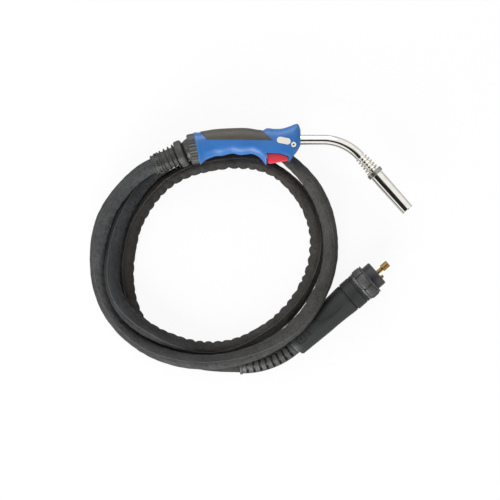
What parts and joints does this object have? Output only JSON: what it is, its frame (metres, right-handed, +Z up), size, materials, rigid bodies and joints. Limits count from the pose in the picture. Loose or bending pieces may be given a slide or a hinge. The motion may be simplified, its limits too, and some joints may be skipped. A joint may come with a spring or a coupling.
{
  "type": "mig welding torch",
  "caption": "Hand-held MIG/MAG welding torch: moulded handle with trigger, bent neck and gas nozzle, ball joint, coiled sleeved cable and central connector.",
  "frame": {"origin": "middle of the cable's coil, on the floor that the coil lies on", "axes": "+Z up; +X along the torch's handle towards its nozzle; +Y across the coil towards the torch"},
  "size_m": [0.4343, 0.3387, 0.062],
  "materials": {
    "cable_jacket": "dark wrinkled leather sleeve",
    "cable_core": "smooth black rubber",
    "sleeve_rubber": "matte black moulded rubber",
    "ferrule_steel": "zinc-plated steel",
    "joint_plastic": "dark glass-filled plastic",
    "handle_plastic": "cobalt blue moulded plastic, semi-gloss",
    "grip_rubber": "olive-brown soft grip, matte",
    "plate_white": "white",
    "screw_steel": "steel",
    "trigger_plastic": "red moulded plastic",
    "switch_case": "black",
    "switch_button": "red",
    "brass": "turned brass",
    "neck_chrome": "bright plated steel tube",
    "liner": "cream plastic liner",
    "copper": "copper",
    "insulator": "cream insulating sleeve",
    "spring_steel": "bright spring wire",
    "collar_grey": "grey turned collar",
    "nozzle_chrome": "bright nickel plating",
    "trim_metal": "dull grey metal",
    "housing_plastic": "near-black moulded plastic",
    "nut_plastic": "dark grey moulded plastic",
    "face_plastic": "dark insulating plastic",
    "pin_brass": "bright brass"
  },
  "bodies": {
    "lead": {"cable_coil": "cable_jacket", "cable_head": "cable_jacket", "cable_tail": "cable_jacket", "cable_core": "cable_core", "cable_sleeve": "sleeve_rubber", "sleeve_ferrule": "ferrule_steel", "bend_protector": "sleeve_rubber", "rear_ring": "trim_metal", "housing_upper": "housing_plastic", "housing_lower": "housing_plastic", "flange_ring": "trim_metal", "nut_clip": "ferrule_steel", "plug_face": "face_plastic", "plug_core": "brass", "gas_pin": "pin_brass", "liner_nut": "pin_brass", "crimp_ferrule": "ferrule_steel", "housing_screw_1": "screw_steel", "housing_screw_2": "screw_steel", "housing_screw_3": "screw_steel", "housing_screw_4": "screw_steel"},
    "knuckle": {"knuckle_ball": "joint_plastic"},
    "torch": {"joint_ring": "joint_plastic", "ball_seat": "joint_plastic", "handle_shell_left": "handle_plastic", "handle_shell_right": "handle_plastic", "soft_grip": "grip_rubber", "oval_plate": "plate_white", "nose_cap": "plate_white", "handle_screw_1": "screw_steel", "handle_screw_2": "screw_steel", "handle_screw_3": "screw_steel", "trigger_pin": "ferrule_steel", "microswitch": "switch_case", "neck_block": "brass", "neck_tube": "neck_chrome", "neck_liner": "liner", "tip_holder": "neck_chrome", "contact_tip": "copper", "nozzle_insulator": "insulator", "nozzle_spring": "spring_steel", "nozzle_collar": "collar_grey"},
    "trigger": {"trigger": "trigger_plastic"},
    "plunger": {"switch_plunger": "switch_button"},
    "nozzle": {"gas_nozzle": "nozzle_chrome"},
    "nut": {"collar_nut": "nut_plastic"},
    "contact_a": {"contact_pin_a": "pin_brass"},
    "contact_b": {"contact_pin_b": "pin_brass"}
  },
  "joints": [
    {"name": "ball_yaw", "type": "hinge", "parent": "lead", "child": "knuckle", "pos_m": [-0.0325, 0.1332, 0.0415], "axis": [0, 0, 1], "range_deg": [-3, 20]},
    {"name": "ball_pitch", "type": "hinge", "parent": "knuckle", "child": "torch", "pos_m": [-0.0325, 0.1332, 0.0415], "axis": [0, -1, 0], "range_deg": [0, 20]},
    {"name": "trigger_pull", "type": "hinge", "parent": "torch", "child": "trigger", "pos_m": [0.0949, 0.131, 0.0415], "axis": [0, 0, -1], "range_deg": [0, 4.5], "stiffness_Nm_per_rad": 0.8, "springref_deg": -3.44},
    {"name": "plunger_press", "type": "slide", "parent": "torch", "child": "plunger", "axis": [0, 1, 0], "range_m": [0, 0.0019]},
    {"name": "nozzle_pull", "type": "slide", "parent": "torch", "child": "nozzle", "axis": [0.6639, -0.7478, 0], "range_m": [0, 0.066]},
    {"name": "nut_turn", "type": "hinge", "parent": "lead", "child": "nut", "pos_m": [0.20272, -0.04641, 0.0233], "axis": [0.754, 0.6554, 0.0436], "continuous": true},
    {"name": "contact_a_press", "type": "slide", "parent": "lead", "child": "contact_a", "axis": [-0.754, -0.6554, -0.0436], "range_m": [0, 0.003], "stiffness_N_per_m": 400, "springref_m": -0.002},
    {"name": "contact_b_press", "type": "slide", "parent": "lead", "child": "contact_b", "axis": [-0.754, -0.6554, -0.0436], "range_m": [0, 0.003], "stiffness_N_per_m": 400, "springref_m": -0.002}
  ],
  "couplings": [
    {"joint": "plunger_press", "follows": "trigger_pull", "m_per_rad": 0.0206}
  ]
}
